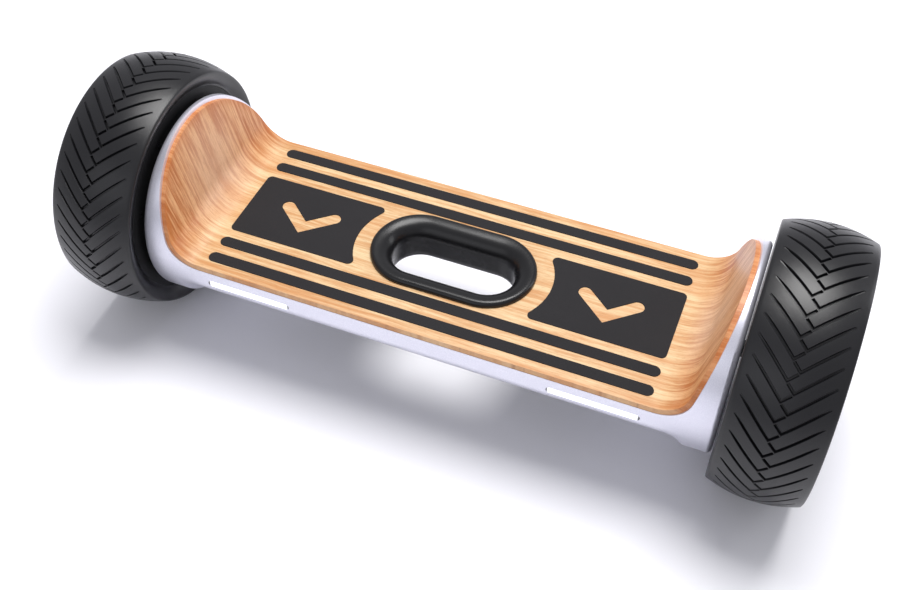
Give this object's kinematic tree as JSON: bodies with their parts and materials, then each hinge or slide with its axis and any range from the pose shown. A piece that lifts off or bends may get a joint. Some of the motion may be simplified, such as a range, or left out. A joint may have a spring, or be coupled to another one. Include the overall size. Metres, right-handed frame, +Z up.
{
  "type": "self balancing board",
  "caption": "Self balancing board with hub motor wheels, a bent wood deck with grip inlays, a carry handle opening and light bars.",
  "frame": {"origin": "on the ground, midway between the wheels and below the middle of the deck", "axes": "+X along the wheel axle to the rider's right-hand wheel when looking to +Y, +Y to the rear (charging side), +Z up"},
  "size_m": [0.726, 0.254, 0.2539],
  "materials": {
    "body": "satin silver moulded shell",
    "deck_wood": "satin lacquered bent plywood",
    "grip_rubber": "matte charcoal grip rubber",
    "handle_plastic": "black satin moulding",
    "black_plastic": "black textured moulding",
    "frame_aluminium": "plain machined and cast aluminium",
    "steel": "zinc plated steel",
    "copper": "enamelled copper wire",
    "magnet": "nickel plated magnets",
    "rim_aluminium": "black painted die cast rim and inner cover",
    "hub_cover": "satin silver cast cover",
    "hub_cap": "black gloss cap",
    "tyre": "black solid rubber with fine speckle",
    "headlight": "white diffusing light bar",
    "tail_light": "red diffusing light bar",
    "circuit_board": "green solder mask",
    "cell_wrap": "blue shrink wrap",
    "lead_rubber": "black lead jacket",
    "button": "satin dark button",
    "flap_rubber": "soft black rubber"
  },
  "bodies": {
    "board": {"body_shell": "body", "bottom_cover": "black_plastic", "bottom_cover_screws": "steel", "wood_deck": "deck_wood", "front_grip_strips": "grip_rubber", "rear_grip_strips": "grip_rubber", "left_grip_pad": "grip_rubber", "right_grip_pad": "grip_rubber", "handle_upper_liner": "handle_plastic", "handle_lower_liner": "handle_plastic", "chassis_plate": "frame_aluminium", "deck_screws": "steel", "load_cells": "steel", "left_wheel_bracket": "frame_aluminium", "right_wheel_bracket": "frame_aluminium", "left_axle_clamp": "frame_aluminium", "right_axle_clamp": "frame_aluminium", "wheel_bracket_bolts": "steel", "left_axle": "steel", "right_axle": "steel", "left_stator_core": "steel", "right_stator_core": "steel", "left_stator_windings": "copper", "right_stator_windings": "copper", "headlight_lenses": "headlight", "tail_light_lenses": "tail_light", "light_boards": "circuit_board", "power_button_ring": "black_plastic", "power_switch": "black_plastic", "charge_socket": "black_plastic", "battery_case": "black_plastic", "battery_lid": "black_plastic", "battery_cells": "cell_wrap", "battery_board": "circuit_board", "controller_board": "circuit_board", "power_transistors": "black_plastic", "controller_heat_sink": "frame_aluminium", "gyro_boards": "circuit_board", "left_motor_lead": "lead_rubber", "right_motor_lead": "lead_rubber", "battery_lead": "lead_rubber"},
    "left_wheel": {"left_rim": "rim_aluminium", "left_inner_hub_cover": "rim_aluminium", "left_outer_hub_cover": "hub_cover", "left_hub_cap": "hub_cap", "left_rotor_magnets": "magnet", "left_hub_bearings": "steel", "left_hub_screws": "steel", "left_tyre": "tyre"},
    "right_wheel": {"right_rim": "rim_aluminium", "right_inner_hub_cover": "rim_aluminium", "right_outer_hub_cover": "hub_cover", "right_hub_cap": "hub_cap", "right_rotor_magnets": "magnet", "right_hub_bearings": "steel", "right_hub_screws": "steel", "right_tyre": "tyre"},
    "power_button": {"power_button": "button"},
    "charge_flap": {"charge_flap": "flap_rubber"}
  },
  "joints": [
    {"name": "left_wheel_spin", "type": "hinge", "parent": "board", "child": "left_wheel", "pos_m": [-0.321, 0, 0.127], "axis": [1, 0, 0], "continuous": true},
    {"name": "right_wheel_spin", "type": "hinge", "parent": "board", "child": "right_wheel", "pos_m": [0.321, 0, 0.127], "axis": [1, 0, 0], "continuous": true},
    {"name": "power_button_press", "type": "slide", "parent": "board", "child": "power_button", "axis": [0, -1, 0], "range_m": [0, 0.0012], "stiffness_N_per_m": 400},
    {"name": "charge_flap_hinge", "type": "hinge", "parent": "board", "child": "charge_flap", "pos_m": [0.035, 0.0993, 0.1026], "axis": [-1, 0, 0], "range_deg": [0, 110]}
  ]
}
